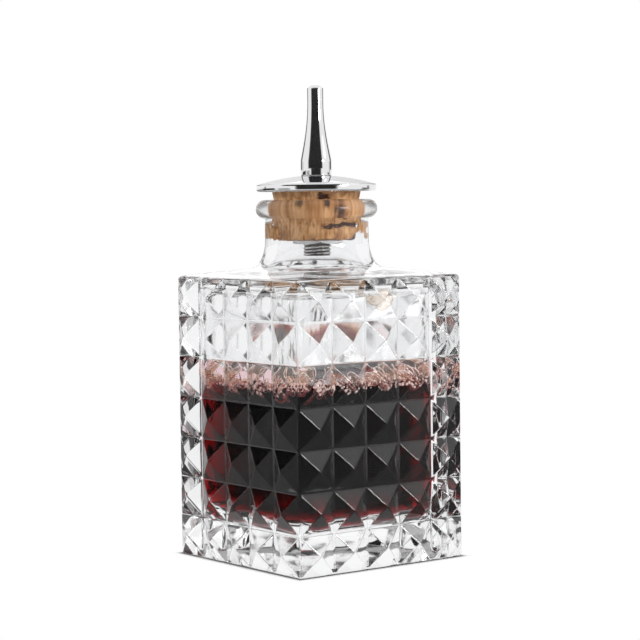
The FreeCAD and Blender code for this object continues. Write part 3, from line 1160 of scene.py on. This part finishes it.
def build_floor():
    """Pale floor that shows only close to the base, with a painted contact shadow: a dark line where the
    glass stands on it.
    """
    work = Patchwork()
    radii = [FLOOR_RADIUS * (k + 1) / FLOOR_RINGS for k in range(FLOOR_RINGS)]
    disc = [circle(radius, 0, FLOOR_AROUND, 0) for radius in radii]
    work.cap(disc[0], Vector((0, 0, 0)))
    work.loft(disc)
    floor = add_object("floor", work.mesh("floor"))
    material, tree, shader = new_material("pale_floor", {"Roughness": 0.9})
    where = add_node(tree, "NewGeometry").outputs["Position"]
    sides = add_node(tree, "VectorMath", {0: where}, operation="ABSOLUTE").outputs["Vector"]
    apart = add_node(tree, "SeparateXYZ", {"Vector": sides}).outputs
    span = larger(tree, apart["X"], apart["Y"])
    # Painted contact shadow: the floor's colour darkens to a thin line round the base
    contact_shadow = add_node(tree, "MapRange", {
        "Value": span, "From Min": CONTACT_SHADOW_START * MM, "From Max": CONTACT_SHADOW_END * MM,
        "To Min": CONTACT_SHADOW_TONE, "To Max": FLOOR_TONE,
    })
    set_inputs(tree, shader, {"Base Color": contact_shadow.outputs["Result"]})
    fade = add_node(tree, "MapRange", {
        "Value": span, "From Min": CONTACT_SHADOW_START * MM, "From Max": FLOOR_END * MM,
    }, interpolation_type="SMOOTHSTEP")
    through = add_node(tree, "LightPath").outputs["Is Transmission Ray"]
    hidden = add_node(tree, "Math", {0: through, 1: FLOOR_HIDDEN}, operation="MULTIPLY")
    gone = larger(tree, fade.outputs["Result"], hidden.outputs[0])
    show(tree, mix_surfaces(tree, gone, shader.outputs["BSDF"], clear_surface(tree)))
    floor.data.materials.append(material)


def set_card(name, work, solidity, shade, rays=("glossy",)):
    """Dark card seen only by the named kinds of ray; solidity gives its cover at a point, 0 to 1."""
    card = add_object(name, work.mesh(name))
    solid = card.data.attributes.new("solid", "FLOAT", "POINT")
    for vertex in card.data.vertices:
        solid.data[vertex.index].value = clamp(solidity(vertex.co / MM))
    material, tree, shader = new_material(name, {
        "Base Color": (shade, shade, shade, 1), "Roughness": 1.0, "Specular IOR Level": 0.0,
    })
    show(tree, mix_surfaces(tree, mesh_value(tree, "solid"), clear_surface(tree), shader.outputs["BSDF"]))
    card.data.materials.append(material)
    card.visible_camera = False
    card.visible_diffuse = False
    card.visible_shadow = False
    card.visible_glossy = "glossy" in rays
    card.visible_transmission = "transmission" in rays


def build_card(name, azimuth, spread, low, high, shade, reach=FAR_REACH, fade=6.0, rays=("glossy",)):
    """Upright card round the bottle with soft sides.

    Azimuth (from the camera), spread and fade are in degrees, the heights and the reach in millimetres.
    """
    work = Patchwork()
    turns = [CAMERA_AZIMUTH + azimuth + spread * (i / CARD_STEPS - 0.5) for i in range(CARD_STEPS + 1)]
    sides = [Vector((math.sin(math.radians(t)), -math.cos(math.radians(t)), 0)) * reach for t in turns]
    foot = Vector((0, 0, low))
    head = Vector((0, 0, high))
    for a, b in zip(sides, sides[1:]):
        work.face([a + foot, b + foot, b + head, a + head])

    def solidity(point):
        turn = math.degrees(math.atan2(point.x, -point.y))
        return (spread / 2 - abs(degrees_apart(turn, CAMERA_AZIMUTH + azimuth))) / fade

    set_card(name, work, solidity, shade, rays)


def build_floor_card(shade):
    """Ring close to the floor, which tones down the floor's mirror image in the facets."""
    near, far = FLOOR_CARD_NEAR, FLOOR_CARD_FAR
    work = Patchwork()
    radii = [near + (far - near) * i / FLOOR_CARD_RINGS for i in range(FLOOR_CARD_RINGS + 1)]
    work.loft([circle(radius, FLOOR_CARD_HEIGHT) for radius in radii])
    set_card("floor_card", work, lambda point: (far - point.xy.length) / (far / 2), shade)


build_glass((
    glass_material("clear_glass", GLASS_INDEX, 0.04),
    glass_material("wetted_glass", GLASS_INDEX / LIQUID_INDEX),
    glass_material("ground_glass", GLASS_INDEX, 0.12),
    glass_material("inner_glass", GLASS_INDEX, 0.12),
    glass_material("lip_glass", GLASS_INDEX, 0.25),
))
build_liquid(liquid_material())
build_froth((
    froth_material("bitters_froth", 0.15, (1.0, 0.78, 0.66), (1.0, 0.98, 0.96)),
    froth_material(
        "bitters_bubbles", 1.0, (0.98, 0.94, 0.91), (1.0, 1.0, 1.0), soak=700.0, rim_highlight=(1.0, 0.96, 0.91),
    ),
))
build_cork(cork_material())
chrome = metal_material("polished_metal", (0.80, 0.80, 0.81), 0.05)
build_disc(chrome)
build_spout(chrome)
build_tube(metal_material("threaded_metal", (0.86, 0.85, 0.84), 0.08, groove_shaded=True))
steel = metal_material("plain_steel", (0.62, 0.62, 0.63), 0.35)
build_washer(steel)
build_nut(steel)

build_world()
build_floor()
build_lamp("key", 53.4, 14, reach=1.0, size=(0.34, 0.15), power=1.9, rays=["glossy", "transmission"])
build_lamp("side", 80, 30, reach=1.2, size=(0.6, 0.4), power=0.24, rays=["glossy"])
build_lamp("back", 180, 21, reach=1.5, size=(1.4, 0.5), power=1.42, rays=["glossy"])
build_lamp("overhead", 0, 90, reach=1.2, size=(1.0, 1.0), power=2.2)

# Cards round the scene, round the body and round the stopper: azimuth, spread, lower and upper edge, shade
build_floor_card(0.34)
build_card("front_card", 0, 84, -240, 800, 0.18)
build_card("front_grey_card", 0, 84, -240, 800, 0.85, rays=["transmission"])
build_card("left_strip", -114, 10, -100, 150, 0.10)
build_card("right_strip", 117, 12, -100, 150, 0.10)
build_card("left_front_card", -62, 32, 0, 96, 0.4, reach=BODY_REACH)
build_card("left_back_card", -140, 50, 0, 96, 0.3, reach=BODY_REACH)
build_card("left_high_card", -101, 44, 50, 98, 0.03, reach=BODY_REACH)
build_card("right_low_card", 106, 30, 0, 96, 0.22, reach=BODY_REACH)
build_card("rim_card", 0, 70, 96, 104.4, 0.03, reach=TOP_REACH)
build_card("spout_front_card", -5, 110, 104.5, 145, 0.03, reach=TOP_REACH)
build_card("dome_card", 180, 100, 106, 132, 0.82, reach=DOME_REACH, fade=12)
build_card("spout_left_card", -133, 30, 105, 140, 0.12, reach=TOP_REACH)
build_card("spout_right_card", 133, 30, 105, 140, 0.12, reach=TOP_REACH)
build_camera()

scene = bpy.context.scene
scene.view_settings.view_transform = "Standard"
scene.cycles.max_bounces = BOUNCES
scene.cycles.transmission_bounces = BOUNCES
scene.cycles.transparent_max_bounces = BOUNCES
